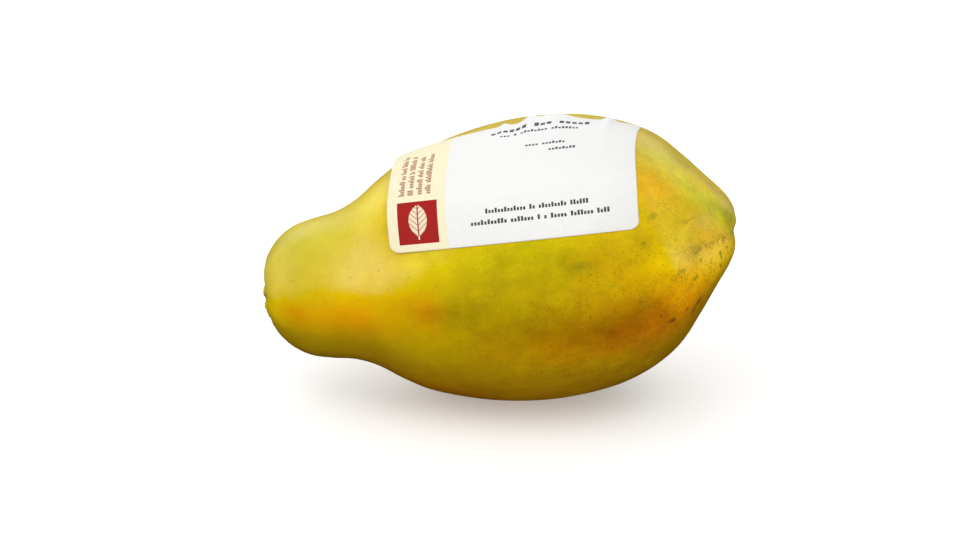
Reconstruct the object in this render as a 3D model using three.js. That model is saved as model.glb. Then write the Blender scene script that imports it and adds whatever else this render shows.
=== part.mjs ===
// A ripe papaya lying on its side, with a paper label stuck over its upper front.
// Millimetres, +Z up. The fruit's length runs along X, stem end at -X, and it rests on Z = 0.
import * as THREE from "three";

// Fruit: driving dimensions
const FRUIT_LENGTH = 164.2;
const BELLY_RADIUS = 49.3;
const REST_TILT = THREE.MathUtils.degToRad(7.6); // the blossom end lies higher than the stem end
const BEND = 1.2; // how far both ends rise above the middle of the fruit's centre line
const FLAT_DEPTH = 1.3; // how far the flat spot it rests on is pressed in

// The outline from the stem scar to the blossom end: share of the length, share of the belly radius
const OUTLINE = [
  [0.004, 0],
  [0.002, 0.053],
  [0.001, 0.089],
  [0.005, 0.114],
  [0.011, 0.128],
  [0.008, 0.166],
  [0.014, 0.256],
  [0.04, 0.373],
  [0.078, 0.459],
  [0.1235, 0.5],
  [0.1715, 0.53],
  [0.2165, 0.595],
  [0.262, 0.701],
  [0.3135, 0.804],
  [0.3775, 0.885],
  [0.4625, 0.96],
  [0.5605, 1],
  [0.645, 0.993],
  [0.725, 0.952],
  [0.7975, 0.865],
  [0.8585, 0.735],
  [0.907, 0.555],
  [0.95, 0.374],
  [0.978, 0.259],
  [0.9915, 0.18],
  [0.9975, 0.106],
  [0.9995, 0.045],
  [1, 0],
];

// Five ridges, strongest at the blossom end, with a pinched groove between each two
const RIDGES = 5;
const RIDGE_ANGLE = THREE.MathUtils.degToRad(45); // one ridge at the blossom end, up from the front
const RIDGE_TWIST = THREE.MathUtils.degToRad(14); // how far the ridges have turned at the stem end
const RIDGE_SHARPNESS = 0.22; // the share of a finer wave that narrows the ridges
const RIDGE_NECK = 0.02; // heights, as shares of the radius
const RIDGE_BODY = 0.009;
const RIDGE_BLOSSOM = 0.024;
const NECK_ZONE = [0.1, 0.4]; // where the neck turns into the body, as shares of the length
const BLOSSOM_ZONE = [0.7, 0.97];
const GROOVE_DEPTH = 0.35;
const GROOVE_WIDTH = 2.6;
const GROOVE_REACH = 30; // how far the grooves run from the blossom end
const GROOVE_FULL = 2; // where they are deepest, from the same end
const POLE_GROOVE = 0.6; // share of their depth that is left where they meet
const POLE_RADIUS = 6; // how far from that point they lose it

// The upper ridges end fuller than the lower ones
const SWELL = 2;
const SWELL_ANGLE = THREE.MathUtils.degToRad(85);
const SWELL_ZONE = [0.76, 0.985];
const SWELL_RADIUS = 7;

// The slow unevenness of the skin: waves around it, height, start, turn along the length
const LUMPS = [
  [2, 0.5, 0.7, 2.2],
  [3, 0.35, -1.1, 5],
];

// The lobed edge of the round stem scar: waves around it, share of its radius, start
const SCAR_RADIUS = 6.4;
const SCAR_SKIRT = 2.5; // how far outside that its lobes fade out
const SCAR_ZONE = 0.1; // share of the length that they can reach
const SCAR_DROP = 2.6; // how far below the fruit's centre line the scar sits
const SCAR_DROP_ZONE = [6.8, 12.5]; // radii between which the end face follows it down
const SCAR_WAVES = [
  [5, 0.07, 0],
  [3, 0.042, 1],
];

// Label: driving dimensions
const LABEL_HEIGHT = 58; // at its left edge
const LABEL_TAPER = 4.5; // how much less high its right edge is
const LABEL_LEFT = 47.5; // distance of its lower corners along the fruit
const LABEL_RIGHT = 130;
const LABEL_LEAN_LEFT = 5.8; // how much further along its upper corners are
const LABEL_LEAN_RIGHT = 7;
const LABEL_LEAN_POWER = 1.7;
const LABEL_START = THREE.MathUtils.degToRad(20); // the line its lower edge is measured up from
const LABEL_FOOT_LEFT = 8.2;
const LABEL_FOOT_RIGHT = 5.3;
const LABEL_CORNER = 3.2;
const LABEL_THICKNESS = 0.6;
const LABEL_GAP = 0.35;
const NECK_LIFT = 1.7; // the stiff paper bridges the hollow of the neck
const NECK_SHARE = 0.3; // share of the label's width that does so
const NECK_LIFT_LOW = 0.35; // share of that lift at the lower edge
// Where the upper edge stands off the skin: place along it, half width, height
const FLUTES = [
  [0.445, 0.02, 0.9],
  [0.55, 0.035, 1.8],
  [0.65, 0.08, 2.5],
  [0.87, 0.025, 1.2],
];
const FLUTE_START = 0.55; // share of the label's height where the flutes begin

// Mesh density
const FRUIT_ROWS = 62;
const FRUIT_SIDES = 64;
const LABEL_COLUMNS = 44;
const LABEL_ROWS = 16;
const LABEL_CROWDING = 0.55; // how strongly its columns crowd towards its ends, where its corners are round

const { clamp, smoothstep, lerp } = THREE.MathUtils;

const outline = new THREE.CatmullRomCurve3(
  OUTLINE.map(
    ([along, out]) =>
      new THREE.Vector3(along * FRUIT_LENGTH, out * BELLY_RADIUS, 0),
  ),
);

// The plain outline's radius at a distance along the fruit, away from its two blunt ends.
const OUTLINE_SAMPLES = 600;
const SLOPE_STEP = 0.5;
const samples = outline.getPoints(OUTLINE_SAMPLES);
function radiusAt(along) {
  let i = 1;
  while (i < samples.length - 1 && samples[i].x < along) i += 1;
  const [a, b] = [samples[i - 1], samples[i]];
  return lerp(a.y, b.y, (along - a.x) / (b.x - a.x));
}

// How far the skin stands out from a round fruit of the same outline.
function relief(along, radius, angle) {
  const share = along / FRUIT_LENGTH;
  const turned = RIDGES * (angle - RIDGE_ANGLE - RIDGE_TWIST * (1 - share));
  const strength =
    RIDGE_BODY +
    (RIDGE_NECK - RIDGE_BODY) * (1 - smoothstep(share, ...NECK_ZONE)) +
    (RIDGE_BLOSSOM - RIDGE_BODY) * smoothstep(share, ...BLOSSOM_ZONE);
  const wave = Math.cos(turned) + RIDGE_SHARPNESS * Math.cos(2 * turned);

  // The distance sideways to the nearest groove, which lies where the ridge wave is lowest
  const offGroove = Math.acos(clamp(-Math.cos(turned), -1, 1)) / RIDGES;
  const aside = (offGroove * radius) / GROOVE_WIDTH;
  const groove =
    GROOVE_DEPTH *
    smoothstep(along, FRUIT_LENGTH - GROOVE_REACH, FRUIT_LENGTH - GROOVE_FULL) *
    lerp(POLE_GROOVE, 1, smoothstep(radius, 0, POLE_RADIUS)) *
    Math.exp(-aside * aside);

  const swell =
    SWELL *
    smoothstep(share, ...SWELL_ZONE) *
    smoothstep(radius, 0, SWELL_RADIUS) *
    Math.max(Math.cos(angle - SWELL_ANGLE), 0) ** 2;

  const middle = Math.sin(Math.PI * clamp(share, 0, 1));
  const lumps = LUMPS.reduce(
    (sum, [waves, height, start, turn]) =>
      sum + height * middle * Math.sin(waves * angle + start + turn * share),
    0,
  );

  const onScar =
    share < SCAR_ZONE
      ? 1 - smoothstep(radius, SCAR_RADIUS, SCAR_RADIUS + SCAR_SKIRT)
      : 0;
  const scar = SCAR_WAVES.reduce(
    (sum, [waves, height, start]) =>
      sum + height * radius * onScar * Math.cos(waves * angle + start),
    0,
  );
  return strength * radius * wave - groove + swell + lumps + scar;
}

// A point of the fruit's own frame, X along it from the stem scar, placed as it lies.
function laid(along, radius, angle) {
  const share = along / FRUIT_LENGTH;
  const fromMiddle = 2 * share - 1;
  const drop =
    share < SCAR_ZONE
      ? SCAR_DROP * (1 - smoothstep(radius, ...SCAR_DROP_ZONE))
      : 0;
  const up = radius * Math.sin(angle) + BEND * fromMiddle * fromMiddle - drop;
  return new THREE.Vector3(
    along * Math.cos(REST_TILT) - up * Math.sin(REST_TILT),
    -radius * Math.cos(angle),
    along * Math.sin(REST_TILT) + up * Math.cos(REST_TILT),
  );
}

// The skin's point where the outline has this point and normal, with its relief.
function skinPoint(point, normal, angle) {
  const out = relief(point.x, point.y, angle);
  return laid(
    point.x + normal.x * out,
    Math.max(point.y + normal.y * out, 0),
    angle,
  );
}

// A lathed body whose rings are then pushed out by the relief. It isn't set down yet.
function fruitGeometry() {
  const points = outline.getPoints(FRUIT_ROWS);
  const last = points.length - 1;
  points[0].y = 0;
  points[last].y = 0;
  const geometry = new THREE.LatheGeometry(
    points.map((p) => new THREE.Vector2(p.y, p.x)),
    FRUIT_SIDES,
  );
  const position = geometry.attributes.position;
  const rings = points.length;
  for (let i = 0; i < position.count; i += 1) {
    const row = i % rings;
    const side = Math.floor(i / rings) % FRUIT_SIDES;
    const before = points[Math.max(row - 1, 0)];
    const after = points[Math.min(row + 1, last)];
    const normal = new THREE.Vector2(
      before.y - after.y,
      after.x - before.x,
    ).normalize();
    const atPole = row === 0 || row === last;
    if (atPole) normal.set(row === 0 ? -1 : 1, 0);
    const angle = atPole ? 0 : (-side / FRUIT_SIDES) * 2 * Math.PI;
    const p = skinPoint(points[row], normal, angle);
    position.setXYZ(i, p.x, p.y, p.z);
  }
  return geometry;
}

// How far the label stands off the skin, from its left edge (across 0) and its lower edge (up 0).
function labelLift(across, up) {
  const bridge = Math.max(1 - across / NECK_SHARE, 0);
  const neck =
    NECK_LIFT * bridge * bridge * lerp(NECK_LIFT_LOW, 1, smoothstep(up, 0, 1));
  const rise = Math.max((up - FLUTE_START) / (1 - FLUTE_START), 0);
  const flutes = FLUTES.reduce((sum, [place, width, height]) => {
    const off = (across - place) / width;
    return sum + height * Math.exp(-off * off);
  }, 0);
  return neck + flutes * rise * rise;
}

// A point over the skin, inside the label's rounded rectangle.
function labelPoint(across, up, offset) {
  const lean = up ** LABEL_LEAN_POWER;
  const along = lerp(
    LABEL_LEFT + LABEL_LEAN_LEFT * lean,
    LABEL_RIGHT + LABEL_LEAN_RIGHT * lean,
    across,
  );
  const radius = radiusAt(along);
  const slope = radiusAt(along + SLOPE_STEP) - radiusAt(along - SLOPE_STEP);
  const foot = lerp(LABEL_FOOT_LEFT, LABEL_FOOT_RIGHT, across);
  const height = LABEL_HEIGHT - LABEL_TAPER * across;
  const angle = LABEL_START + (foot + up * height) / radius;
  const normal = new THREE.Vector2(-slope, 2 * SLOPE_STEP).normalize();
  const out = relief(along, radius, angle) + labelLift(across, up) + offset;
  return laid(along + normal.x * out, radius + normal.y * out, angle);
}

// A closed sheet: the same grid on its under and upper side, and a rim between them.
function labelGeometry() {
  const width = LABEL_RIGHT - LABEL_LEFT;
  const vertices = [];
  const triangles = [];
  const stride = LABEL_ROWS + 1;
  const sheet = (LABEL_COLUMNS + 1) * stride;
  for (const offset of [LABEL_GAP, LABEL_GAP + LABEL_THICKNESS]) {
    for (let column = 0; column <= LABEL_COLUMNS; column += 1) {
      const even = column / LABEL_COLUMNS;
      const turn = 2 * Math.PI * even;
      const across = even - (LABEL_CROWDING * Math.sin(turn)) / (2 * Math.PI);
      const toEnd = Math.min(across, 1 - across) * width;
      const inside = Math.max(LABEL_CORNER - toEnd, 0);
      const cut =
        (LABEL_CORNER - Math.sqrt(LABEL_CORNER ** 2 - inside ** 2)) /
        LABEL_HEIGHT;
      for (let row = 0; row <= LABEL_ROWS; row += 1) {
        const up = lerp(cut, 1 - cut, row / LABEL_ROWS);
        vertices.push(...labelPoint(across, up, offset).toArray());
      }
    }
  }
  const quad = (a, b, c, d) => triangles.push(a, b, c, a, c, d);
  for (let column = 0; column < LABEL_COLUMNS; column += 1) {
    for (let row = 0; row < LABEL_ROWS; row += 1) {
      const a = column * stride + row;
      const b = a + stride;
      quad(sheet + a, sheet + b, sheet + b + 1, sheet + a + 1);
      triangles.push(a, b + 1, b, a, a + 1, b + 1);
    }
  }
  const rim = (a, b) => quad(a, b, sheet + b, sheet + a);
  for (let column = 0; column < LABEL_COLUMNS; column += 1) {
    const a = column * stride;
    rim(a, a + stride);
    rim(a + stride + LABEL_ROWS, a + LABEL_ROWS);
  }
  const end = LABEL_COLUMNS * stride;
  for (let row = 0; row < LABEL_ROWS; row += 1) {
    rim(row + 1, row);
    rim(end + row, end + row + 1);
  }
  const geometry = new THREE.BufferGeometry();
  geometry.setAttribute(
    "position",
    new THREE.Float32BufferAttribute(vertices, 3),
  );
  geometry.setIndex(triangles);
  geometry.computeVertexNormals();
  return geometry;
}

// Sets both pieces down: centred over the origin, with everything under the flat spot pressed up to Z = 0.
function setDown(fruit, label) {
  fruit.computeBoundingBox();
  const lowest = fruit.boundingBox.min.z;
  const centre = fruit.boundingBox.getCenter(new THREE.Vector3());
  const rise = -(lowest + FLAT_DEPTH);
  for (const geometry of [fruit, label]) {
    geometry.translate(-centre.x, -centre.y, rise);
  }
  const position = fruit.attributes.position;
  for (let i = 0; i < position.count; i += 1) {
    position.setZ(i, Math.max(position.getZ(i), 0));
  }
  fruit.computeVertexNormals();
}

const skin = new THREE.MeshStandardMaterial({
  color: 0xd8ac1c,
  roughness: 0.4,
  metalness: 0,
});
const paper = new THREE.MeshStandardMaterial({
  color: 0xf4f3ee,
  roughness: 0.7,
  metalness: 0,
});

const fruit = new THREE.Mesh(fruitGeometry(), skin);
fruit.name = "papaya";
const label = new THREE.Mesh(labelGeometry(), paper);
label.name = "label";
setDown(fruit.geometry, label.geometry);

const part = new THREE.Group();
part.add(fruit, label);

export default part;
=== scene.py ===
import math

import bpy
import numpy as np
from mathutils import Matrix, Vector


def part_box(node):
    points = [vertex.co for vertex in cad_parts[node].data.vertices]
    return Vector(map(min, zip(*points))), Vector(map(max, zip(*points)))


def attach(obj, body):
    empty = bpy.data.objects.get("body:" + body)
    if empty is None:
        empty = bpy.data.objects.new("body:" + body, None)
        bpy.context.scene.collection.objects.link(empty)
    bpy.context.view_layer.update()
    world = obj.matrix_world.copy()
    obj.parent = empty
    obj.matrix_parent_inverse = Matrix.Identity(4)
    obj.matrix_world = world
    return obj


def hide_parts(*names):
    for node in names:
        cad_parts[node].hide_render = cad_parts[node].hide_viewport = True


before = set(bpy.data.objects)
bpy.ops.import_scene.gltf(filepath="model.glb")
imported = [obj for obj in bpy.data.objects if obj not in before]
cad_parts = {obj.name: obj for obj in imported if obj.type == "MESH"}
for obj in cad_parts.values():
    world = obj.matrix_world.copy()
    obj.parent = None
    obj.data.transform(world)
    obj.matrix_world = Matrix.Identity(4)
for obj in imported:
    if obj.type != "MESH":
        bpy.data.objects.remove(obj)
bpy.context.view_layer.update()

scene = bpy.context.scene
scene.view_settings.view_transform = "Standard"

# The fruit's shape, in millimetres: the same named values and the same formulas as the solid's,
# sampled more finely.
FRUIT_LENGTH = 164.2
BELLY_RADIUS = 49.3
REST_TILT = math.radians(7.6)
BEND = 1.2
OUTLINE = np.array([
    (0.004, 0.0), (0.002, 0.053), (0.001, 0.089), (0.005, 0.114), (0.011, 0.128), (0.008, 0.166),
    (0.014, 0.256), (0.04, 0.373), (0.078, 0.459), (0.1235, 0.5), (0.1715, 0.53), (0.2165, 0.595),
    (0.262, 0.701), (0.3135, 0.804), (0.3775, 0.885), (0.4625, 0.96), (0.5605, 1.0), (0.645, 0.993),
    (0.725, 0.952), (0.7975, 0.865), (0.8585, 0.735), (0.907, 0.555), (0.95, 0.374), (0.978, 0.259),
    (0.9915, 0.18), (0.9975, 0.106), (0.9995, 0.045), (1.0, 0.0),
]) * (FRUIT_LENGTH, BELLY_RADIUS)

RIDGES = 5
RIDGE_ANGLE = math.radians(45)
RIDGE_TWIST = math.radians(14)
RIDGE_SHARPNESS = 0.22
RIDGE_NECK, RIDGE_BODY, RIDGE_BLOSSOM = 0.02, 0.009, 0.024
NECK_ZONE = (0.1, 0.4)
BLOSSOM_ZONE = (0.7, 0.97)
GROOVE_DEPTH, GROOVE_WIDTH, GROOVE_REACH, GROOVE_FULL = 0.35, 2.6, 30.0, 2.0
POLE_GROOVE, POLE_RADIUS = 0.6, 6.0
SWELL, SWELL_ANGLE, SWELL_ZONE, SWELL_RADIUS = 2.0, math.radians(85), (0.76, 0.985), 7.0
LUMPS = ((2, 0.5, 0.7, 2.2), (3, 0.35, -1.1, 5.0))
SCAR_RADIUS, SCAR_SKIRT, SCAR_ZONE = 6.4, 2.5, 0.1
SCAR_DROP, SCAR_DROP_ZONE = 2.6, (6.8, 12.5)
SCAR_WAVES = ((5, 0.07, 0.0), (3, 0.042, 1.0))

LABEL_HEIGHT, LABEL_TAPER = 58.0, 4.5
LABEL_LEFT, LABEL_RIGHT = 47.5, 130.0
LABEL_LEAN_LEFT, LABEL_LEAN_RIGHT, LABEL_LEAN_POWER = 5.8, 7.0, 1.7
LABEL_START = math.radians(20)
LABEL_FOOT_LEFT, LABEL_FOOT_RIGHT = 8.2, 5.3
LABEL_CORNER = 3.2
NECK_LIFT, NECK_SHARE, NECK_LIFT_LOW = 1.7, 0.3, 0.35
FLUTES = ((0.445, 0.02, 0.9), (0.55, 0.035, 1.8), (0.65, 0.08, 2.5), (0.87, 0.025, 1.2))
FLUTE_START = 0.55

PAPER_GAP = 0.14  # the real paper lies closer and is thinner than its solid
PAPER_THICKNESS = 0.12


def smooth(x, low, high):
    t = np.clip((x - low) / (high - low), 0.0, 1.0)
    return t * t * (3 - 2 * t)


def centripetal(points, steps):
    """The smooth curve through the points that the solid's outline follows."""
    p = np.vstack([2 * points[0] - points[1], points, 2 * points[-1] - points[-2]])
    t = np.linspace(0, 1, steps, endpoint=False)[:, None]
    pieces = []
    for p0, p1, p2, p3 in zip(p, p[1:], p[2:], p[3:]):
        d0, d1, d2 = (math.sqrt(np.linalg.norm(b - a)) for a, b in ((p0, p1), (p1, p2), (p2, p3)))
        start = ((p1 - p0) / d0 - (p2 - p0) / (d0 + d1) + (p2 - p1) / d1) * d1
        end = ((p2 - p1) / d1 - (p3 - p1) / (d1 + d2) + (p3 - p2) / d2) * d1
        square = -3 * p1 + 3 * p2 - 2 * start - end
        cube = 2 * p1 - 2 * p2 + start + end
        pieces.append(p1 + start * t + square * t ** 2 + cube * t ** 3)
    return np.vstack(pieces + [points[-1:]])


CURVE_STEPS = 60
STEM_FACE, TIP_FACE = 12, 8  # the lengths at both ends where one place has several radii
curve = centripetal(OUTLINE, CURVE_STEPS)


def radius_at(along):
    body = (curve[:, 0] > STEM_FACE) & (curve[:, 0] < FRUIT_LENGTH - TIP_FACE)
    return np.interp(along, curve[body, 0], curve[body, 1])


def ridge_phase(along, angle):
    return RIDGES * (angle - RIDGE_ANGLE - RIDGE_TWIST * (1 - along / FRUIT_LENGTH))


def off_groove(along, radius, angle):
    """The distance sideways to the nearest groove."""
    return np.arccos(np.clip(-np.cos(ridge_phase(along, angle)), -1, 1)) / RIDGES * radius


def relief(along, radius, angle):
    """How far the skin stands out from a round fruit of the same outline."""
    share = along / FRUIT_LENGTH
    turned = ridge_phase(along, angle)
    strength = (RIDGE_BODY + (RIDGE_NECK - RIDGE_BODY) * (1 - smooth(share, *NECK_ZONE))
                + (RIDGE_BLOSSOM - RIDGE_BODY) * smooth(share, *BLOSSOM_ZONE))
    wave = np.cos(turned) + RIDGE_SHARPNESS * np.cos(2 * turned)
    aside = off_groove(along, radius, angle) / GROOVE_WIDTH
    at_tip = POLE_GROOVE + (1 - POLE_GROOVE) * smooth(radius, 0, POLE_RADIUS)
    groove = (GROOVE_DEPTH * smooth(along, FRUIT_LENGTH - GROOVE_REACH, FRUIT_LENGTH - GROOVE_FULL)
              * at_tip * np.exp(-aside ** 2))
    swell = (SWELL * smooth(share, *SWELL_ZONE) * smooth(radius, 0, SWELL_RADIUS)
             * np.maximum(np.cos(angle - SWELL_ANGLE), 0) ** 2)
    middle = np.sin(np.pi * np.clip(share, 0, 1))
    lumps = sum(height * middle * np.sin(waves * angle + start + turn * share)
                for waves, height, start, turn in LUMPS)
    on_scar = np.where(share < SCAR_ZONE, 1 - smooth(radius, SCAR_RADIUS, SCAR_RADIUS + SCAR_SKIRT), 0)
    scar = sum(height * radius * on_scar * np.cos(waves * angle + start)
               for waves, height, start in SCAR_WAVES)
    return strength * radius * wave - groove + swell + lumps + scar


def laid(along, radius, angle):
    """Points of the fruit once it lies on its side, from their places on it."""
    share = along / FRUIT_LENGTH
    drop = np.where(share < SCAR_ZONE, SCAR_DROP * (1 - smooth(radius, *SCAR_DROP_ZONE)), 0)
    up = radius * np.sin(angle) + BEND * (2 * share - 1) ** 2 - drop
    return np.stack([along * math.cos(REST_TILT) - up * math.sin(REST_TILT),
                     -radius * np.cos(angle),
                     along * math.sin(REST_TILT) + up * math.cos(REST_TILT)], -1)


# Fruit mesh, with its rows crowded towards both ends
SIDES = 352
ROWS = 252
STEM_CROWDING, TIP_CROWDING, CROWDED_LENGTH = 2.2, 1.6, 12
lengths = np.r_[0, np.cumsum(np.linalg.norm(np.diff(curve, axis=0), axis=1))]
total = lengths[-1]
crowding = (1 + STEM_CROWDING * np.exp(-(lengths / CROWDED_LENGTH) ** 2)
            + TIP_CROWDING * np.exp(-((total - lengths) / CROWDED_LENGTH) ** 2))
spread = np.r_[0, np.cumsum((crowding[1:] + crowding[:-1]) / 2 * np.diff(lengths))]
wanted = np.interp(np.linspace(0, spread[-1], ROWS), spread, lengths)
rows = np.stack([np.interp(wanted, lengths, curve[:, i]) for i in range(2)], 1)
rows[[0, -1], 1] = 0
tangent = np.gradient(rows, axis=0)
normals = np.stack([-tangent[:, 1], tangent[:, 0]], 1)
normals /= np.linalg.norm(normals, axis=1)[:, None]
normals[0], normals[-1] = (-1, 0), (1, 0)
angles = np.linspace(0, 2 * np.pi, SIDES, endpoint=False)
along = np.repeat(rows[:, :1], SIDES, 1)
radius = np.repeat(rows[:, 1:], SIDES, 1)
angle = np.repeat(angles[None], ROWS, 0)
at_pole = np.zeros_like(angle, dtype=bool)
at_pole[[0, -1]] = True
angle_used = np.where(at_pole, 0, angle)

out = relief(along, radius, angle_used)
# Fibres, rings and a sunk middle on the stem scar
SCAR_END = 6  # how far along the fruit the scar's face reaches
SCAR_FACE = (5.2, 6.2)
FIBRES, FIBRE_HEIGHT, FIBRE_WANDER, FIBRE_ZONE = 23, 0.16, 1.7, (1, 3)
RING_HEIGHT, RING_TURN, RING_ZONE = 0.2, 2.1, (0.5, 2.5)
HOLLOW_DEPTH, HOLLOW_RADIUS = 0.5, 1.6
at_stem = along < SCAR_END
on_face = at_stem * (1 - smooth(radius, *SCAR_FACE))
scar_fibres = (FIBRE_HEIGHT * np.sin(FIBRES * angle_used + FIBRE_WANDER * np.sin(radius))
               * smooth(radius, *FIBRE_ZONE))
scar_rings = RING_HEIGHT * np.cos(radius * RING_TURN) * smooth(radius, *RING_ZONE)
scar_hollow = HOLLOW_DEPTH * np.exp(-(radius / HOLLOW_RADIUS) ** 2)
out = out + on_face * (scar_fibres + scar_rings - scar_hollow)
u = along + normals[:, :1] * out
r = np.maximum(radius + normals[:, 1:] * out, 0)
skin_points = laid(u, r, angle_used)

MM = 1000  # millimetres in a metre
low, high = (np.array(corner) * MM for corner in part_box("papaya"))
flat = skin_points.reshape(-1, 3)
set_down = np.array([(low[0] + high[0] - flat[:, 0].min() - flat[:, 0].max()) / 2,
                     (low[1] + high[1] - flat[:, 1].min() - flat[:, 1].max()) / 2,
                     high[2] - flat[:, 2].max()])
skin_points = np.clip(skin_points + set_down, low, high)


def new_mesh(name, points, faces):
    mesh = bpy.data.meshes.new(name)
    mesh.from_pydata([tuple(p) for p in points / MM], [], faces)
    mesh.validate()
    mesh.polygons.foreach_set("use_smooth", [True] * len(mesh.polygons))
    mesh.update()
    obj = bpy.data.objects.new(name, mesh)
    scene.collection.objects.link(obj)
    return obj


def add_values(obj, name, values):
    attribute = obj.data.attributes.new(name, "FLOAT", "POINT")
    attribute.data.foreach_set("value", np.asarray(values, dtype=np.float32).ravel())


# One vertex at each pole, rings between them
ring_points = skin_points[1:-1].reshape(-1, 3)
vertices = np.vstack([ring_points, skin_points[0, :1], skin_points[-1, :1]])
first_pole, last_pole = len(ring_points), len(ring_points) + 1
faces = []
rings = ROWS - 2
for i in range(rings - 1):
    a = i * SIDES
    for j in range(SIDES):
        k = (j + 1) % SIDES
        faces.append((a + j, a + SIDES + j, a + SIDES + k, a + k))
for j in range(SIDES):
    k = (j + 1) % SIDES
    faces.append((first_pole, j, k))
    faces.append((last_pole, (rings - 1) * SIDES + k, (rings - 1) * SIDES + j))
fruit = new_mesh("papaya_skin", vertices, faces)
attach(fruit, "root")
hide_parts("papaya")


def on_vertices(grid):
    """A value for each row and side, as one for each vertex."""
    return np.r_[grid[1:-1].ravel(), grid[0, 0], grid[-1, 0]]


# Soft patches of the skin's colour: distance from the stem, angle up from the front,
# half length, half width (mm), change. Hue is green over red, light is the red itself.
SKIN_HUE, SKIN_LIGHT = 0.74, 0.66
HUES = (
    (16, 68, 24, 15, 0.12), (11, 0, 6, 5, -0.16), (30, -4, 18, 7, -0.25), (57, 3, 6, 6, -0.25),
    (85, 24, 24, 7, 0.07), (120, 15, 16, 13, -0.1), (98, -11, 30, 12, -0.16),
    (118, -15, 20, 10, -0.18), (135, -22, 15, 12, -0.19), (150, -20, 8, 7, -0.12),
    (136, 46, 7, 10, -0.16), (154, 40, 7, 9, 0.04), (141, 78, 10, 8, 0.06), (110, 14, 7, 2, 0.05),
    (38, 80, 12, 14, 0.04), (143, 62, 8, 6, 0.05), (11, 15, 5, 3, 0.06), (49, 7, 8, 3.5, -0.1),
    (153, 16, 7, 6, -0.08), (133, -6, 16, 8, -0.07), (122, 5, 16, 8, -0.03), (161, 45, 5, 6, 0.07),
    (95, -48, 60, 24, -0.12), (154, -12, 6, 8, 0.08), (60, 150, 30, 18, 0.05),
    (100, 190, 30, 20, 0.02), (125, 208, 16, 13, -0.18), (80, 250, 28, 18, -0.12),
    (30, 205, 15, 13, -0.1), (148, 140, 10, 12, 0.1), (60, 300, 22, 14, -0.14),
    (120, 275, 16, 12, 0.06), (20, 280, 12, 10, 0.08), (112, -4, 20, 8, 0.045),
    (141, 7, 5, 4, 0.05), (47, 46, 8, 9, -0.04), (147, 60, 6, 3.5, 0.06), (155, 45, 5, 3.5, 0.11),
    (160, 33, 3, 3.5, 0.1), (146, 54, 7, 3, 0.05), (139, 69, 6, 3, 0.05), (152, 50, 5, 3, 0.05),
    (147, 38, 6, 4, -0.03),
)
# Among them, the darker spots at (95, -8), (118, -13) and (128, -9) are painted shade along the lower
# front, cast by a wall in front of the fruit.
LIGHTS = (
    (20, 52, 13, 10, -0.07), (44, 66, 9, 18, 0.18), (37, 24, 14, 10, 0.22), (6, 36, 5, 13, 0.18),
    (34, -2, 18, 6, 0.16), (84, 14, 24, 11, -0.16), (92, 23, 14, 4, -0.05), (67, 1, 9, 5, -0.15),
    (108, 14.5, 5, 1.8, -0.16), (95, -8, 26, 7, -0.18), (118, -13, 13, 6, -0.18),
    (145, 4, 10, 14, 0.25), (150, -6, 8, 7, 0.12), (147, -27, 8, 4, -0.2),
    (132, 20, 2.5, 2.5, -0.1), (141, 45, 11, 14, 0.1), (137, 70, 6, 5, -0.08),
    (154, 47, 5, 6, -0.08), (147.5, 9, 2, 6, -0.12), (42, 82, 9, 12, 0.1), (56, 25, 13, 4.5, 0.13),
    (43, 17, 9, 4, 0.07), (52, 9, 10, 3.5, 0.08), (105, 18.5, 6, 3, -0.1), (134, 11, 4.5, 5, 0.14),
    (88, 0, 12, 4, -0.08), (128, -9, 7, 5, -0.09), (136, -18, 4, 4, -0.1), (156, -6, 5, 12, 0.12),
    (157, 12, 5, 6, 0.12), (154, 62, 5, 8, 0.1), (145, 68, 9, 6, 0.05), (161, 42, 3, 6, -0.1),
    (153, -12, 6, 7, 0.1), (140, -17, 6, 5, 0.2), (67, 18, 8, 5, 0.1), (24, 66, 14, 12, 0.03),
    (60, 150, 30, 18, -0.05), (100, 190, 30, 20, -0.04), (125, 208, 16, 13, 0.1),
    (80, 250, 28, 18, 0.03), (148, 140, 10, 10, -0.06), (120, 275, 14, 10, -0.08),
    (30, 205, 15, 13, 0.08), (20, 280, 10, 9, -0.08), (133, 5, 6, 6, 0.08), (160.5, 8, 3, 4, 0.12),
    (159, -18, 3, 5, 0.06), (141, 8, 6, 5, 0.09), (136, 47, 5, 5, 0.1), (31, 76, 7, 6, -0.04),
    (49, 50, 7, 8, -0.06), (13, 70, 6, 8, -0.03), (5, 50, 4, 10, -0.05), (155, 44, 5, 3, -0.07),
    (146, 53, 7, 3, -0.03), (160.5, 32, 2.5, 3, -0.06),
)
# How pale the painted sheen is there, a painted reflection of the lights on the skin.
# Its narrow streaks high on the blossom end are painted highlights along a ridge and the rim.
SHEEN_SPOTS = (
    (38, 27, 12, 9, 0.06), (44, 78, 12, 15, 0.06), (14, 84, 10, 9, 0.03), (7, 45, 6, 12, 0.05),
    (152, -3, 9, 14, 0.06), (152.5, 31, 5, 4, 0.045), (138, 84, 7, 7, 0.05), (158, 78, 6, 3, 0.05),
    (161, 60, 2.5, 5, 0.06), (24, 62, 22, 18, 0.02), (90, 125, 50, 16, 0.04),
    (30, 150, 20, 12, 0.04), (151, 18, 4, 3, -0.04), (160, 35, 3, 4, -0.03), (39, 31, 8, 5, 0.04),
    (46, 22, 8, 4, 0.045), (31, 17, 8, 4, 0.03), (48, 50, 8, 9, -0.025), (141, 9, 5, 5, 0.04),
    (160.5, 8, 2.5, 4, 0.04), (159, -18, 3, 4, 0.03), (152, 78, 4, 1.5, 0.05),
    (157, 77, 3, 1.5, 0.06), (161, 58, 2, 2.5, 0.04), (162, 46, 1.5, 2.5, 0.04),
    (39, 47, 6, 5, 0.03), (42, 12, 5, 2.5, 0.02), (141, 5, 4, 4, 0.03), (151, 36, 5, 4, -0.02),
)
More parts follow.
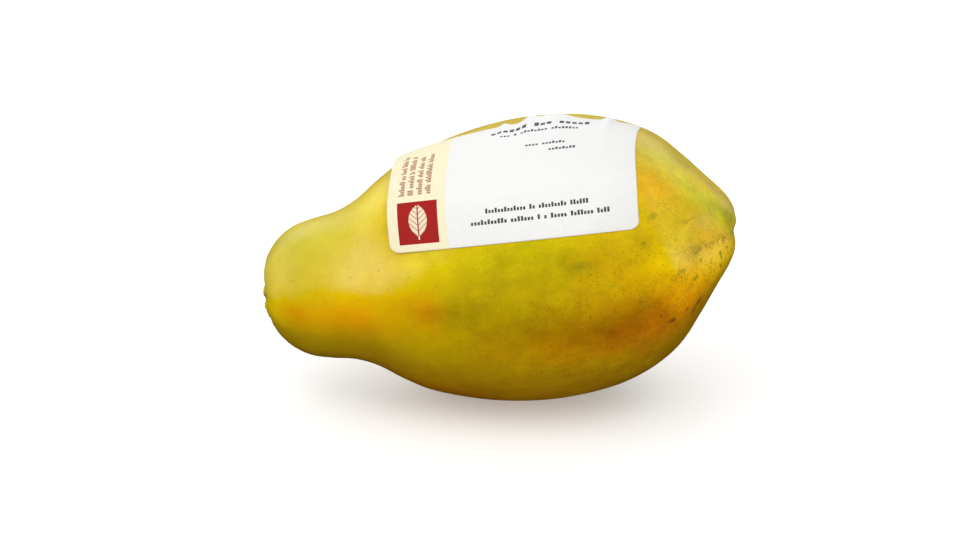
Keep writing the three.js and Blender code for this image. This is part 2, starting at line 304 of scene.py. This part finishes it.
# Small marks: distance from the stem, angle, half length, half width (mm), strength
BROWN_MARKS = (
    (136.5, -21.5, 1.4, 0.9, 1), (142, -21.5, 0.9, 0.7, 0.8), (146.5, -25.5, 1.6, 0.8, 0.9),
    (144, -27.5, 1.1, 0.8, 0.7), (133, -15.5, 0.8, 0.7, 0.7), (131, 20.5, 1.2, 0.5, 0.6),
    (124, 14.5, 0.8, 0.5, 0.4), (146, 29.5, 0.9, 0.4, 0.55), (147.5, 31, 0.9, 0.35, 0.6),
    (148.5, 32.5, 0.9, 0.3, 0.55), (147, 12.5, 0.9, 0.8, 0.45), (148.5, 7.5, 0.9, 0.8, 0.45),
    (150, 1, 0.8, 1, 0.5), (157.5, -4, 0.7, 1, 0.48), (160, -5, 0.6, 1, 0.48),
    (157.5, -10, 0.6, 1.6, 0.6), (156.5, -19.5, 0.6, 1.4, 0.55), (153.5, -7, 0.7, 0.6, 0.4),
    (147, -8, 1.5, 1, 0.5), (145, -11, 0.7, 1.4, 0.45), (143, 2, 0.7, 0.7, 0.4),
    (126, -17, 1.1, 0.8, 0.5), (139.5, -12, 0.8, 0.8, 0.5), (128.5, -6, 0.8, 0.6, 0.4),
    (12, 250, 1.4, 1, 0.6), (88, 232, 2.2, 1.3, 0.5), (104, 160, 1.6, 1, 0.6),
    (131, 170, 1.3, 1, 0.7), (140, 225, 2.4, 0.7, 0.5), (118, 282, 1.8, 1.2, 0.6),
    (66, 182, 1.2, 0.9, 0.5), (150, 305, 1.6, 0.9, 0.6),
)
GREEN_MARKS = (
    (135, 32.5, 2, 1.8, 0.75), (145, 29.5, 2, 1.5, 0.5), (143, 1, 2, 1.6, 0.6),
    (139.5, 0.5, 1.6, 1.3, 0.4), (118.5, 5, 1.6, 1.3, 0.65), (126, 13, 2.6, 1.6, 0.45),
    (131.5, 20, 2.6, 2, 0.45), (148, 7, 1.8, 5, 0.42), (143, 42, 4, 1.6, 0.4),
    (156.5, 49, 5, 2.6, 0.5), (161, 37, 2.5, 3, 0.55), (107.5, 15.5, 4.5, 1.2, 0.6),
    (76, 4, 6, 3, 0.3), (88, 13, 7, 2.5, 0.25), (76, 205, 2.4, 1.8, 0.5), (112, 228, 2, 1.8, 0.5),
    (136, 255, 2.4, 1.8, 0.5), (94, 305, 2, 1.6, 0.4), (144, 190, 2.6, 1.8, 0.5),
)
# The painted sheen's lower edge, where the painted reflection ends: distance from the stem, angle
SHEEN_EDGE = (
    (0, 15), (9, 13), (13, 15), (18, 19), (28, 17), (36, 11), (45, 12), (52, 18), (66, 24),
    (74, 40), (124, 56), (132, 38), (136, 18), (140, 1), (143, -4), (150, -11), (155, -20),
    (164, -26),
)
SHEEN_SOFTNESS, SHEEN_PALE = 10, 0.018
# The painted sheen's softer, wavy edge at the back
SHEEN_BACK, SHEEN_BACK_WAVE, SHEEN_WAVE_LENGTH = math.radians(156), math.radians(13), 13
SHEEN_BACK_SOFTNESS = 32
BLUR_ZONE, MOTTLED_ZONE = (60, 130), (38, 80)  # where the painted sheen's edge blurs, where mottling grows
# The underside is painted more orange, and darker as painted shade
UNDERSIDE_POWER, UNDERSIDE_HUE, UNDERSIDE_SHADE = 1.5, 0.12, 0.1
RIPE_ZONE, LOWER_ZONE = (78, 138), (-15, 28)  # along the fruit, and in degrees below the middle
# Dirt in the grooves, most at the front
DIRT_WIDTH, DIRT_ZONE = 1.8, (136, 154)
DIRT_MIDDLE, DIRT_SPREAD = math.radians(20), math.radians(30)
# The scars at both ends
STEM_CORK = (3.6, 5.4)
SEAM_RADIUS, SEAM_WIDTH = 6.6, 0.8
BLOSSOM_START, BLOSSOM_RADIUS = 150, 2.2


def soft_spots(spots):
    field = np.zeros_like(along)
    for where, degrees, half_length, half_width, value in spots:
        turn = (angle - math.radians(degrees) + np.pi) % (2 * np.pi) - np.pi
        aside = turn * np.maximum(radius, 1) / half_width
        field += value * np.exp(-((along - where) / half_length) ** 2 - aside ** 2)
    return field


underside = np.maximum(-np.sin(angle), 0) ** UNDERSIDE_POWER
signed = (angle + np.pi / 2) % (2 * np.pi) - np.pi / 2
edge_angle = np.radians(np.interp(along, *np.array(SHEEN_EDGE).T))
back_edge = SHEEN_BACK + SHEEN_BACK_WAVE * np.sin(along / SHEEN_WAVE_LENGTH)
# Painted sheen: from its lower edge up over the top to its edge at the back
painted_sheen = np.maximum(radius, 1) * np.minimum((signed - edge_angle) / SHEEN_SOFTNESS,
                                           (back_edge - signed) / SHEEN_BACK_SOFTNESS)
in_groove = (np.exp(-(off_groove(along, radius, angle) / DIRT_WIDTH) ** 2)
             * smooth(along, *DIRT_ZONE))
front = np.exp(-((signed - DIRT_MIDDLE) / DIRT_SPREAD) ** 2)
ripe_end = smooth(along, *RIPE_ZONE)
lower = 1 - smooth(np.degrees(signed), *LOWER_ZONE)
speckled = 0.012 + ripe_end * (0.13 + 0.47 * lower) + in_groove * (0.2 + 0.5 * front)
paint = {
    "hue": SKIN_HUE - UNDERSIDE_HUE * underside + soft_spots(HUES),
    # painted shade: darker towards the underside, and in some spots along the lower front
    "light": SKIN_LIGHT - UNDERSIDE_SHADE * underside + soft_spots(LIGHTS),
    # painted sheen, a painted reflection of the lights
    "painted_sheen": np.clip(painted_sheen, -1, 1),
    "sheen_blur": 0.25 + 0.75 * smooth(along, *BLUR_ZONE),
    "pale": SHEEN_PALE + soft_spots(SHEEN_SPOTS),
    "mottled": 0.5 + 0.5 * smooth(along, *MOTTLED_ZONE),
    "brown": np.clip(soft_spots(BROWN_MARKS), 0, 1),
    "green": np.clip(soft_spots(GREEN_MARKS), 0, 1),
    "speckled": np.clip(speckled, 0, 1),
    "groove": in_groove * (0.25 + 0.75 * front),
    "stem_scar": at_stem * (1 - smooth(radius, *STEM_CORK)),
    "stem_seam": at_stem * np.exp(-((radius - SEAM_RADIUS) / SEAM_WIDTH) ** 2),
    "blossom_scar": (along > BLOSSOM_START) * np.exp(-(radius / BLOSSOM_RADIUS) ** 2),
}
for name, grid in paint.items():
    add_values(fruit, name, on_vertices(grid))


# Label mesh: a closed thin sheet over the skin
def label_lift(across, up):
    """How far the paper stands off the skin, over the neck and in its upper edge's flutes."""
    bridge = np.maximum(1 - across / NECK_SHARE, 0)
    neck = NECK_LIFT * bridge ** 2 * (NECK_LIFT_LOW + (1 - NECK_LIFT_LOW) * smooth(up, 0, 1))
    rise = np.maximum((up - FLUTE_START) / (1 - FLUTE_START), 0)
    flutes = sum(height * np.exp(-((across - where) / width) ** 2) for where, width, height in FLUTES)
    return neck + flutes * rise ** 2


def label_points(across, up, offset):
    lean = up ** LABEL_LEAN_POWER
    where = ((LABEL_LEFT + LABEL_LEAN_LEFT * lean) * (1 - across)
             + (LABEL_RIGHT + LABEL_LEAN_RIGHT * lean) * across)
    radius = radius_at(where)
    slope = radius_at(where + 0.5) - radius_at(where - 0.5)  # over one millimetre
    foot = LABEL_FOOT_LEFT * (1 - across) + LABEL_FOOT_RIGHT * across
    turn = LABEL_START + (foot + up * (LABEL_HEIGHT - LABEL_TAPER * across)) / radius
    size = np.sqrt(slope ** 2 + 1)
    out = relief(where, radius, turn) + label_lift(across, up) + offset
    return laid(where - slope / size * out, radius + out / size, turn) + set_down


COLUMNS, LINES = 210, 130
SIDE_CROWDING = 0.55  # how much closer the columns lie at the label's two sides
width = LABEL_RIGHT - LABEL_LEFT
even = np.linspace(0, 1, COLUMNS + 1)
across_row = even - SIDE_CROWDING * np.sin(2 * np.pi * even) / (2 * np.pi)
inside = np.maximum(LABEL_CORNER - np.minimum(across_row, 1 - across_row) * width, 0)
cut = (LABEL_CORNER - np.sqrt(LABEL_CORNER ** 2 - inside ** 2)) / LABEL_HEIGHT
up_grid = cut[:, None] + (1 - 2 * cut[:, None]) * np.linspace(0, 1, LINES + 1)[None]
across_grid = np.repeat(across_row[:, None], LINES + 1, 1)
under = label_points(across_grid, up_grid, PAPER_GAP).reshape(-1, 3)
over = label_points(across_grid, up_grid, PAPER_GAP + PAPER_THICKNESS).reshape(-1, 3)
stride, sheet = LINES + 1, (COLUMNS + 1) * (LINES + 1)
faces = []
for i in range(COLUMNS):
    for j in range(LINES):
        a, b = i * stride + j, (i + 1) * stride + j
        faces.append((sheet + a, sheet + b, sheet + b + 1, sheet + a + 1))
        faces.append((a, a + 1, b + 1, b))
for i in range(COLUMNS):
    a = i * stride
    faces.append((a, a + stride, sheet + a + stride, sheet + a))
    faces.append((a + stride + LINES, a + LINES, sheet + a + LINES, sheet + a + stride + LINES))
end = COLUMNS * stride
for j in range(LINES):
    faces.append((j + 1, j, sheet + j, sheet + j + 1))
    faces.append((end + j, end + j + 1, sheet + end + j + 1, sheet + end + j))
label = new_mesh("label_paper", np.vstack([under, over]), faces)
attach(label, "root")
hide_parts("label")
add_values(label, "print_x", np.tile(across_grid.ravel() * width, 2))
heights = up_grid * (LABEL_HEIGHT - LABEL_TAPER * across_grid)
add_values(label, "print_y", np.tile(heights.ravel(), 2))
add_values(label, "printed_side", np.r_[np.zeros(sheet), np.ones(sheet)])


# Materials
class Nodes:
    """A material's node tree, built with short calls."""

    def __init__(self, name):
        self.material = bpy.data.materials.new(name)
        self.material.use_nodes = True
        self.tree = self.material.node_tree
        self.shader = self.tree.nodes["Principled BSDF"]

    def link(self, value, socket):
        if isinstance(value, bpy.types.NodeSocket):
            self.tree.links.new(value, socket)
        else:
            socket.default_value = value

    def set(self, **inputs):
        for name, value in inputs.items():
            self.link(value, self.shader.inputs[name.replace("_", " ")])

    def math(self, operation, a, b=None, c=None, clamp=False):
        node = self.tree.nodes.new("ShaderNodeMath")
        node.operation = operation
        node.use_clamp = clamp
        for value, socket in zip((a, b, c), node.inputs):
            if value is not None:
                self.link(value, socket)
        return node.outputs[0]

    def attribute(self, name):
        node = self.tree.nodes.new("ShaderNodeAttribute")
        node.attribute_name = name
        return node.outputs["Fac"]

    def mix(self, amount, a, b):
        node = self.tree.nodes.new("ShaderNodeMix")
        node.data_type = "RGBA"
        self.link(amount, node.inputs["Factor"])
        self.link(a, node.inputs["A"])
        self.link(b, node.inputs["B"])
        return node.outputs["Result"]

    def step(self, value, low, high, to_low=0.0, to_high=1.0):
        node = self.tree.nodes.new("ShaderNodeMapRange")
        node.interpolation_type = "SMOOTHSTEP"
        limits = {"From Min": low, "From Max": high, "To Min": to_low, "To Max": to_high}
        self.link(value, node.inputs["Value"])
        for name, number in limits.items():
            self.link(number, node.inputs[name])
        return node.outputs["Result"]

    def coordinates(self, stretch=(1, 1, 1), turn=0.0):
        """Object coordinates, turned so that X runs along the fruit, then stretched."""
        source = self.tree.nodes.new("ShaderNodeTexCoord")
        rotate = self.tree.nodes.new("ShaderNodeVectorRotate")
        rotate.rotation_type = "Y_AXIS"
        rotate.inputs["Angle"].default_value = turn
        self.tree.links.new(source.outputs["Object"], rotate.inputs["Vector"])
        scale = self.tree.nodes.new("ShaderNodeVectorMath")
        scale.operation = "MULTIPLY"
        scale.inputs[1].default_value = stretch
        self.tree.links.new(rotate.outputs[0], scale.inputs[0])
        return scale.outputs[0]

    def noise(self, vector, scale, detail=2.0, roughness=0.5):
        node = self.tree.nodes.new("ShaderNodeTexNoise")
        self.link(vector, node.inputs["Vector"])
        node.inputs["Scale"].default_value = scale
        node.inputs["Detail"].default_value = detail
        node.inputs["Roughness"].default_value = roughness
        return node.outputs["Fac"]

    def dots(self, vector, scale, size, amount):
        """Round dots of uneven size, in the share of the cells that amount gives."""
        node = self.tree.nodes.new("ShaderNodeTexVoronoi")
        self.link(vector, node.inputs["Vector"])
        node.inputs["Scale"].default_value = scale
        split = self.tree.nodes.new("ShaderNodeSeparateColor")
        self.tree.links.new(node.outputs["Color"], split.inputs[0])
        there = self.math("LESS_THAN", split.outputs[0], amount)
        reach = self.math("MULTIPLY_ADD", split.outputs[1], size * 0.7, size * 0.5)
        outwards = self.math("DIVIDE", node.outputs["Distance"], reach)
        dot = self.math("SUBTRACT", 1.0, outwards, clamp=True)
        return self.math("MULTIPLY", there, self.step(dot, 0.0, 0.55))

    def bump(self, height, strength, distance):
        node = self.tree.nodes.new("ShaderNodeBump")
        node.inputs["Strength"].default_value = strength
        node.inputs["Distance"].default_value = distance
        self.link(height, node.inputs["Height"])
        return node.outputs[0]


# The skin's noises: cells in a metre, detail, roughness
CLOUD, BLOTCH, PATCH = (55, 3, 0.5), (170, 4, 0.6), (95, 4, 0.6)
STREAK, GRAIN, RAGGED = (420, 3, 0.55), (1300, 3, 0.6), (620, 4, 0.65)
PATCHY, SMUDGE, WAXINESS = (130, 3, 0.65), (1000, 4, 0.7), (120, 3, 0.5)
PORES, DIMPLES = (1500, 2, 0.5), (260, 3, 0.5)
PATCH_STRETCH, STREAK_STRETCH = (1.0, 1.1, 0.9), (0.3, 1, 1)
# How far they move the skin's light and its hue
CLOUD_LIGHT, BLOTCH_LIGHT, STREAK_LIGHT, GRAIN_LIGHT = 0.14, 0.3, 0.12, 0.2
PATCH_HUE, STREAK_HUE, GRAIN_HUE = 0.24, 0.1, 0.1
SKIN_BLUE = 0.0006
OLIVE, SMUDGE_BROWN = (0.3, 0.27, 0.01, 1), (0.34, 0.18, 0.004, 1)
MARK_BROWN, DIRT_BROWN = (0.14, 0.062, 0.005, 1), (0.22, 0.12, 0.01, 1)
CORK_DARK, CORK_LIGHT = (0.2, 0.15, 0.03, 1), (0.42, 0.34, 0.09, 1)
SEAM_BROWN, BLOSSOM_BROWN = (0.24, 0.17, 0.01, 1), (0.07, 0.04, 0.014, 1)
SHINE_TINT = (1, 0.89, 0.28, 1)
# Specks, the coarsest last: cells in a metre, size in a cell, share of the cells, strength, colour
SPECKS = (
    (2300, 0.6, 1.3, 0.45, (0.16, 0.085, 0.004, 1)),
    (1250, 0.42, 0.42, 0.6, (0.15, 0.08, 0.004, 1)),
    (640, 0.3, 0.12, 0.72, (0.1, 0.055, 0.004, 1)),
)


def skin_material():
    n = Nodes("papaya_skin")
    plain = n.coordinates()
    streaky = n.coordinates(STREAK_STRETCH, REST_TILT)

    def swing(noise, size, value):
        return n.math("MULTIPLY_ADD", n.math("SUBTRACT", noise, 0.5), size, value)

    cloud = n.noise(plain, *CLOUD)
    blotch = n.noise(plain, *BLOTCH)
    patch = n.noise(n.coordinates(PATCH_STRETCH), *PATCH)
    streak = n.noise(streaky, *STREAK)
    grain = n.noise(plain, *GRAIN)
    ragged = n.noise(plain, *RAGGED)

    # The skin's own colour, paler where the painted sheen lies, a reflection of the lights painted in
    mottled = n.attribute("mottled")
    light = n.attribute("light")
    for noise, size in ((cloud, CLOUD_LIGHT), (blotch, BLOTCH_LIGHT), (streak, STREAK_LIGHT),
                        (grain, GRAIN_LIGHT)):
        light = swing(noise, n.math("MULTIPLY", mottled, size), light)
    hue = n.attribute("hue")
    for noise, size in ((patch, PATCH_HUE), (streak, STREAK_HUE), (grain, GRAIN_HUE)):
        hue = swing(noise, n.math("MULTIPLY", mottled, size), hue)
    painted_sheen = swing(grain, 0.2, swing(blotch, 0.7, n.attribute("painted_sheen")))
    painted_sheen = n.math("MULTIPLY", n.step(painted_sheen, -0.15, n.attribute("sheen_blur")),
                   n.step(patch, 0.2, 0.8, 0.7, 1.2))
    blue = n.math("MULTIPLY_ADD", painted_sheen, n.attribute("pale"), SKIN_BLUE)
    tone = n.tree.nodes.new("ShaderNodeCombineColor")
    for value, socket in zip((light, n.math("MULTIPLY", light, hue), blue), tone.inputs):
        n.link(value, socket)
    tone = tone.outputs[0]

    # Olive spots, smudges and specks
    green = n.step(swing(ragged, 0.9, n.attribute("green")), 0.15, 0.9)
    tone = n.mix(n.math("MULTIPLY", green, 0.75), tone, OLIVE)
    patchy = n.step(n.noise(plain, *PATCHY), 0.4, 0.66, 0.15, 1.6)
    density = n.math("MULTIPLY", n.attribute("speckled"), patchy)
    smudge = n.step(n.noise(plain, *SMUDGE), 0.52, 0.66)
    smudge = n.math("MULTIPLY", smudge, n.math("MULTIPLY", density, 0.75))
    tone = n.mix(n.math("MULTIPLY", smudge, 0.75, clamp=True), tone, SMUDGE_BROWN)
    for scale, size, share, strength, color in SPECKS:
        specks = n.dots(plain, scale, size, n.math("MULTIPLY", density, share))
        tone = n.mix(n.math("MULTIPLY", specks, strength), tone, color)

    # Single marks, and dirt in the grooves
    mark = n.step(swing(ragged, 1.0, n.attribute("brown")), 0.15, 0.75)
    tone = n.mix(n.math("MULTIPLY", mark, 0.8), tone, MARK_BROWN)
    dirt = n.math("MULTIPLY", n.attribute("groove"), n.step(ragged, 0.46, 0.6))
    tone = n.mix(n.math("MULTIPLY", dirt, 0.55), tone, DIRT_BROWN)

    # The stem scar's cork, the seam round it and the blossom scar
    stem = n.attribute("stem_scar")
    cork = n.mix(n.step(ragged, 0.35, 0.65), CORK_DARK, CORK_LIGHT)
    tone = n.mix(stem, tone, cork)
    tone = n.mix(n.math("MULTIPLY", n.attribute("stem_seam"), 0.7), tone, SEAM_BROWN)
    tone = n.mix(n.math("MULTIPLY", n.attribute("blossom_scar"), 0.85), tone, BLOSSOM_BROWN)

    # Pores, dimples, pits under the coarse specks, and the cork's grain
    height = n.math("MULTIPLY_ADD", n.noise(plain, *DIMPLES), 1.6, n.noise(plain, *PORES))
    height = n.math("MULTIPLY_ADD", specks, -0.7, height)
    height = n.math("MULTIPLY_ADD", n.math("MULTIPLY", stem, ragged), 6.0, height)
    rough = n.step(n.noise(streaky, *WAXINESS), 0.3, 0.7, 0.34, 0.45)
    rough = n.math("MULTIPLY_ADD", stem, 0.4, rough)
    rough = n.math("MULTIPLY_ADD", mark, 0.15, rough)
    n.set(Base_Color=tone, Roughness=rough, Specular_IOR_Level=0.2,
          Specular_Tint=SHINE_TINT, Normal=n.bump(height, 0.35, 0.0001))
    return n.material


# Print on the label, in millimetres from its lower left corner, as words of plain blocks.
# Lines: first x, middle y, height, width of a block, blocks in each word.
DARK_LINES = (
    (32.2, 11.5, 1.7, 1.04, (13, 2, 9, 6)),
    (27.2, 7.7, 1.7, 1.1, (11, 7, 1, 1, 5, 7, 4)),
    (53.3, 34.8, 1.3, 1.15, (8,)),
    (45.4, 38.2, 1.3, 1.12, (4, 7)),
    (36.3, 46.2, 1.3, 1.15, (3, 1, 8, 8)),
    (32.8, 49.8, 2.1, 2.1, (6, 3, 5)),
)
# The same up the cream strip: first y, middle leftwards from the strip's right edge, height,
# width of a block, blocks in each word
RED_LINES = (
    (20.8, 14.6, 1.9, 0.86, (9, 3, 5, 6, 3)),
    (20.8, 11.7, 1.9, 0.86, (3, 8, 2, 9, 2)),
    (20.8, 8.8, 1.9, 0.86, (9, 5, 5, 4)),
    (20.8, 5.9, 1.9, 0.86, (5, 13, 7)),
)
CREAM_WIDTH = 19.2
BLOCK_FILL = 0.7  # the inked share of a block's width
TALL_BLOCKS = 0.45  # the share of the blocks that have the line's full height
SHORT_BLOCK = 0.66  # the height of the others, as a share of it
RED_FIELD = (3.3, 2.5, 16.4, 17.9)  # left, bottom, right, top
# The plain leaf on it: where two circles overlap
LEAF_MIDDLE = (9.85, 10.7)
LEAF_CIRCLE = 7.4
LEAF_APART = 4.4  # from the leaf's middle to the middle of each circle
LEAF_STEM = 3.9  # where the stem starts, from the label's lower edge
LEAF_STEM_END = 5.5  # where it ends, below the leaf's middle
STEM_HALF_WIDTH, MIDRIB_HALF_WIDTH = 0.24, 0.2
VEIN_SPACING, VEIN_SHARE = 2.0, 0.13
VEIN_START = 50.0  # keeps the counted veins above zero
# Paper and ink: each pair is one colour's darker and lighter mottling
WHITE_PAPER = (0.84, 0.84, 0.83, 1), (0.87, 0.87, 0.86, 1)
CREAM_PAPER = (0.9, 0.83, 0.58, 1), (0.93, 0.86, 0.61, 1)
FIELD_RED = (0.36, 0.005, 0.003, 1), (0.39, 0.007, 0.004, 1)
DARK_INK, RED_INK = (0.04, 0.03, 0.03, 1), (0.33, 0.03, 0.015, 1)
LEAF_CREAM, PAPER_BACK = (0.86, 0.74, 0.52, 1), (0.84, 0.83, 0.8, 1)
# The paper's noises: cells in a metre, detail, roughness
PAPER_MOTTLE, INK_WEAR = (900, 3, 0.6), (2600, 2, 0.6)
COARSE_FIBRES, FINE_FIBRES = (320, 3, 0.5), (2400, 2, 0.5)


def label_material():
    n = Nodes("label_paper")
    x, y = n.attribute("print_x"), n.attribute("print_y")
    plain = n.coordinates()

    def within(value, low, high):
        return n.math("COMPARE", value, (low + high) / 2, (high - low) / 2)

    def lines(entries, across, up):
        """Words of plain blocks, tall ones and short ones, with one block's gap between words."""
        inked = None
        for start, middle, height, pitch, words in entries:
            counted = n.math("DIVIDE", n.math("SUBTRACT", across, start), pitch)
            block = n.math("LESS_THAN", n.math("FRACT", counted), BLOCK_FILL)
            place_in_line = n.tree.nodes.new("ShaderNodeCombineXYZ")
            n.link(n.math("FLOOR", counted), place_in_line.inputs[0])
            n.link(middle, place_in_line.inputs[1])
            chance = n.tree.nodes.new("ShaderNodeTexWhiteNoise")
            n.link(place_in_line.outputs[0], chance.inputs["Vector"])
            tall = n.math("LESS_THAN", chance.outputs["Value"], TALL_BLOCKS)
            top = n.math("MULTIPLY_ADD", tall, height * (1 - SHORT_BLOCK),
                         middle + height * (SHORT_BLOCK - 0.5))
            upright = n.math("MULTIPLY", n.math("LESS_THAN", up, top),
                             n.math("GREATER_THAN", up, middle - height / 2))
            word = None
            for blocks in words:
                here = within(across, start, start + blocks * pitch)
                word = here if word is None else n.math("MAXIMUM", word, here)
                start += (blocks + 1) * pitch
            line = n.math("MULTIPLY", n.math("MULTIPLY", word, block), upright)
            inked = line if inked is None else n.math("MAXIMUM", inked, line)
        return inked

    # Paper and print
    mottle = n.noise(plain, *PAPER_MOTTLE)
    uneven = n.step(mottle, 0.3, 0.7)
    white = n.mix(uneven, *WHITE_PAPER)
    cream = n.mix(uneven, *CREAM_PAPER)
    paper = n.mix(n.math("LESS_THAN", x, CREAM_WIDTH), white, cream)
    wear = n.step(n.noise(plain, *INK_WEAR), 0.3, 0.55, 0.82, 1.0)
    dark = n.math("MULTIPLY", lines(DARK_LINES, x, y), wear)
    paper = n.mix(dark, paper, DARK_INK)
    leftwards = n.math("SUBTRACT", CREAM_WIDTH, x)
    red = n.math("MULTIPLY", n.math("MULTIPLY", lines(RED_LINES, y, leftwards), wear), 0.9)
    paper = n.mix(red, paper, RED_INK)

    # The red field and its leaf
    left, bottom, right, top = RED_FIELD
    field = n.math("MULTIPLY", within(x, left, right), within(y, bottom, top))
    aside = n.math("ABSOLUTE", n.math("SUBTRACT", x, LEAF_MIDDLE[0]))
    up = n.math("SUBTRACT", y, LEAF_MIDDLE[1])
    reach = n.math("SQRT", n.math("ADD", n.math("POWER", n.math("ADD", aside, LEAF_APART), 2.0),
                                  n.math("MULTIPLY", up, up)))
    leaf = n.math("LESS_THAN", reach, LEAF_CIRCLE)
    slanted = n.math("DIVIDE", n.math("SUBTRACT", n.math("ADD", up, VEIN_START), aside), VEIN_SPACING)
    veins = n.math("MAXIMUM", n.math("LESS_THAN", n.math("FRACT", slanted), VEIN_SHARE),
                   n.math("LESS_THAN", aside, MIDRIB_HALF_WIDTH))
    stem = n.math("MULTIPLY", n.math("LESS_THAN", aside, STEM_HALF_WIDTH),
                  within(y, LEAF_STEM, LEAF_MIDDLE[1] - LEAF_STEM_END))
    emblem = n.math("MAXIMUM", n.math("MULTIPLY", leaf, n.math("SUBTRACT", 1.0, veins)), stem)
    paper = n.mix(field, paper, n.mix(uneven, *FIELD_RED))
    paper = n.mix(n.math("MULTIPLY", field, emblem), paper, LEAF_CREAM)

    back = n.math("SUBTRACT", 1.0, n.attribute("printed_side"))
    paper = n.mix(back, paper, PAPER_BACK)
    fibres = n.math("MULTIPLY_ADD", n.noise(plain, *COARSE_FIBRES), 2.0,
                    n.noise(plain, *FINE_FIBRES))
    rough = n.step(mottle, 0.3, 0.7, 0.5, 0.6)
    n.set(Base_Color=paper, Roughness=rough, Specular_IOR_Level=0.2,
          Normal=n.bump(fibres, 0.25, 0.00008))
    return n.material


fruit.data.materials.append(skin_material())
label.data.materials.append(label_material())


# Studio: a pale floor, large soft lights and the camera
LIGHT_AIM = Vector((0, 0, 0.05))


def outward(azimuth, elevation):
    """The direction away from the fruit, from two angles in degrees; azimuth 0 is the front."""
    a, e = math.radians(azimuth), math.radians(elevation)
    return Vector((math.sin(a) * math.cos(e), -math.cos(a) * math.cos(e), math.sin(e)))


def softbox(name, azimuth, elevation, distance, wide, high, power, shines=True):
    """A large rectangular light that looks at the fruit, azimuth 0 being the camera's side."""
    data = bpy.data.lights.new(name, "AREA")
    data.shape = "RECTANGLE"
    data.size, data.size_y = wide, high
    data.energy = power
    light = bpy.data.objects.new(name, data)
    light.location = LIGHT_AIM + distance * outward(azimuth, elevation)
    light.rotation_euler = (LIGHT_AIM - light.location).to_track_quat("-Z", "Y").to_euler()
    light.visible_glossy = shines
    scene.collection.objects.link(light)


# Azimuth and elevation in degrees, then distance, width and height in metres, and power
softbox("left_softbox", -55, 42, 1.3, 1.5, 1.2, 8.6)
softbox("right_softbox", 50, 45, 1.3, 1.3, 1.2, 6.8)
softbox("right_rim", 128, 24, 1.1, 0.8, 0.5, 1.2)
softbox("left_rim", -115, 20, 1.1, 0.8, 0.6, 3.2, shines=False)
softbox("top_softbox", 180, 80, 1.1, 1.2, 1.0, 0.8)
softbox("back_softbox", 180, 34, 1.3, 1.8, 1.0, 7.0)
softbox("low_fill", 5, 0, 1.4, 2.0, 0.5, 10.5, shines=False)

FLOOR_HALF = 6
FLOOR_COLOR, FLOOR_GLOW = (0.86, 0.86, 0.86, 1), 0.3
corners = [(x * FLOOR_HALF, y * FLOOR_HALF, 0) for x, y in ((-1, -1), (1, -1), (1, 1), (-1, 1))]
floor_mesh = bpy.data.meshes.new("floor")
floor_mesh.from_pydata(corners, [], [(0, 1, 2, 3)])
floor = bpy.data.objects.new("floor", floor_mesh)
scene.collection.objects.link(floor)
floor_nodes = Nodes("floor")
floor_nodes.set(Base_Color=FLOOR_COLOR, Roughness=0.9, Emission_Color=(1, 1, 1, 1),
                Emission_Strength=FLOOR_GLOW)
floor.data.materials.append(floor_nodes.material)
floor.visible_glossy = False
floor.visible_diffuse = False

# The studio's walls: a dim dome as light, warmer below, a shine from above alone, and white to
# the camera. For each kind of ray: from which height to which one the colour turns, and both
# colours.
BLACK, WHITE = (0, 0, 0, 1), (1, 1, 1, 1)
BELOW, ABOVE = (0.22, 0.19, 0.14, 1), (0.26, 0.26, 0.26, 1)
WALLS = (
    (None, -0.25, 0.35, BELOW, ABOVE),
    ("Is Glossy Ray", 0.1, 0.7, BLACK, ABOVE),
    ("Is Camera Ray", 0, 1, WHITE, WHITE),
)
world = bpy.data.worlds.new("studio")
scene.world = world
world.use_nodes = True
tree = world.node_tree
paths = tree.nodes.new("ShaderNodeLightPath").outputs
direction = tree.nodes.new("ShaderNodeTexCoord")
split = tree.nodes.new("ShaderNodeSeparateXYZ")
tree.links.new(direction.outputs["Generated"], split.inputs[0])
color = None
for ray, low, high, below, above in WALLS:
    height = tree.nodes.new("ShaderNodeMapRange")
    height.inputs["From Min"].default_value = low
    height.inputs["From Max"].default_value = high
    dome = tree.nodes.new("ShaderNodeMix")
    dome.data_type = "RGBA"
    dome.inputs["A"].default_value = below
    dome.inputs["B"].default_value = above
    tree.links.new(split.outputs["Z"], height.inputs["Value"])
    tree.links.new(height.outputs["Result"], dome.inputs["Factor"])
    if ray is None:
        color = dome.outputs["Result"]
        continue
    choice = tree.nodes.new("ShaderNodeMix")
    choice.data_type = "RGBA"
    tree.links.new(paths[ray], choice.inputs["Factor"])
    tree.links.new(color, choice.inputs["A"])
    tree.links.new(dome.outputs["Result"], choice.inputs["B"])
    color = choice.outputs["Result"]
tree.links.new(color, tree.nodes["Background"].inputs["Color"])

CAMERA_AIM = Vector((-0.00658, 0, 0.04495))
CAMERA_DISTANCE = 0.925
CAMERA_AZIMUTH, CAMERA_ELEVATION = -2, 20  # degrees
LENS, SENSOR_WIDTH = 100, 36
camera_data = bpy.data.cameras.new("camera")
camera_data.lens = LENS
camera_data.sensor_width = SENSOR_WIDTH
camera = bpy.data.objects.new("camera", camera_data)
away = outward(CAMERA_AZIMUTH, CAMERA_ELEVATION)
camera.location = CAMERA_AIM + CAMERA_DISTANCE * away
camera.rotation_euler = (-away).to_track_quat("-Z", "Y").to_euler()
scene.collection.objects.link(camera)
scene.camera = camera
